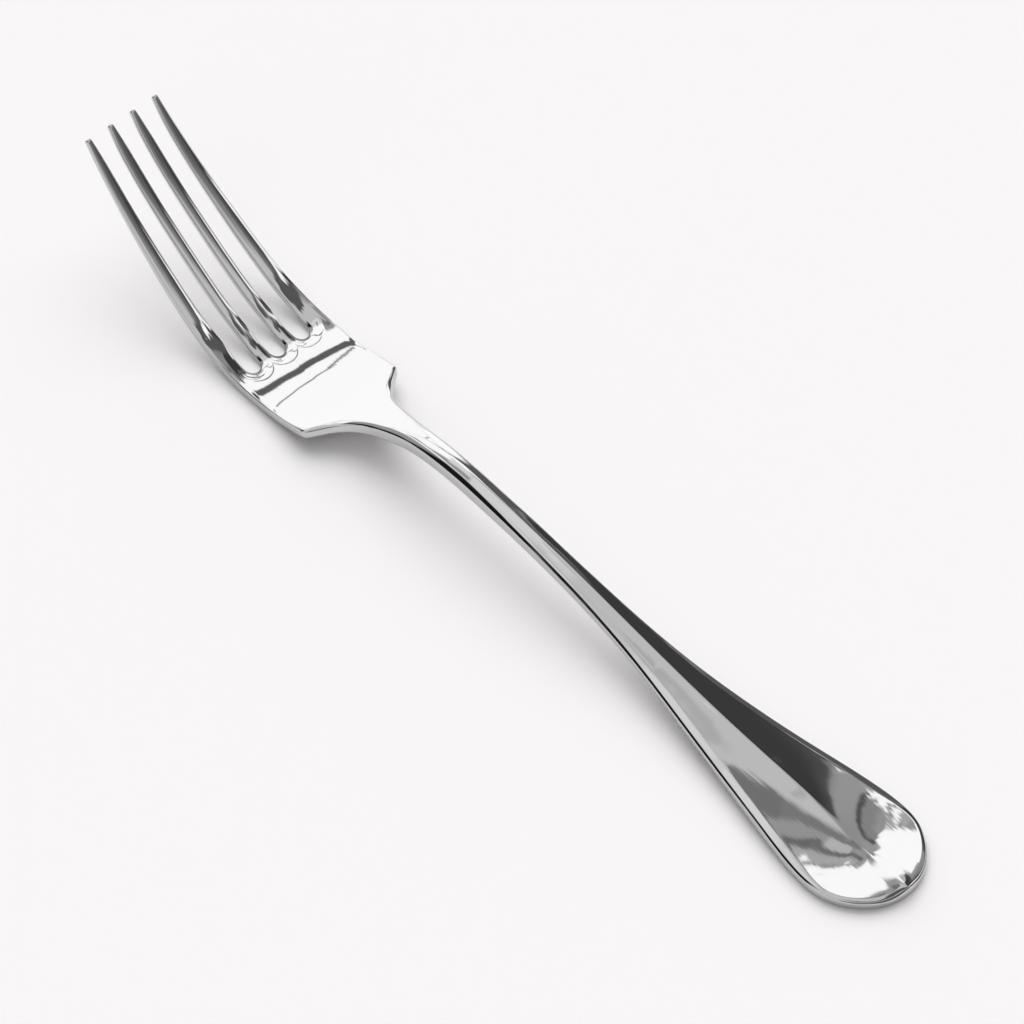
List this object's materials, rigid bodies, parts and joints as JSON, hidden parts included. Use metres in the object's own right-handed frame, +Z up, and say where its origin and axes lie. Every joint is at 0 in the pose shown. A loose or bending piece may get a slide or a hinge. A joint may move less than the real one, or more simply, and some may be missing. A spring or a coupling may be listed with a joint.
{
  "type": "dinner fork",
  "caption": "Polished stainless steel dinner fork with a ridged, round-ended handle, a narrow neck, a shouldered palm and long curved tines.",
  "frame": {"origin": "middle of the fork's outline, on the table surface it rests on", "axes": "+Y along the fork from the handle's end to the tine tips, +X across the fork, +Z up with the tines turned up"},
  "size_m": [0.0254, 0.206, 0.0276],
  "materials": {
    "polished_stainless_steel": "polished"
  },
  "bodies": {
    "root": {"handle": "polished_stainless_steel", "neck": "polished_stainless_steel", "palm": "polished_stainless_steel", "tine_1": "polished_stainless_steel", "tine_2": "polished_stainless_steel", "tine_3": "polished_stainless_steel", "tine_4": "polished_stainless_steel"}
  },
  "joints": []
}
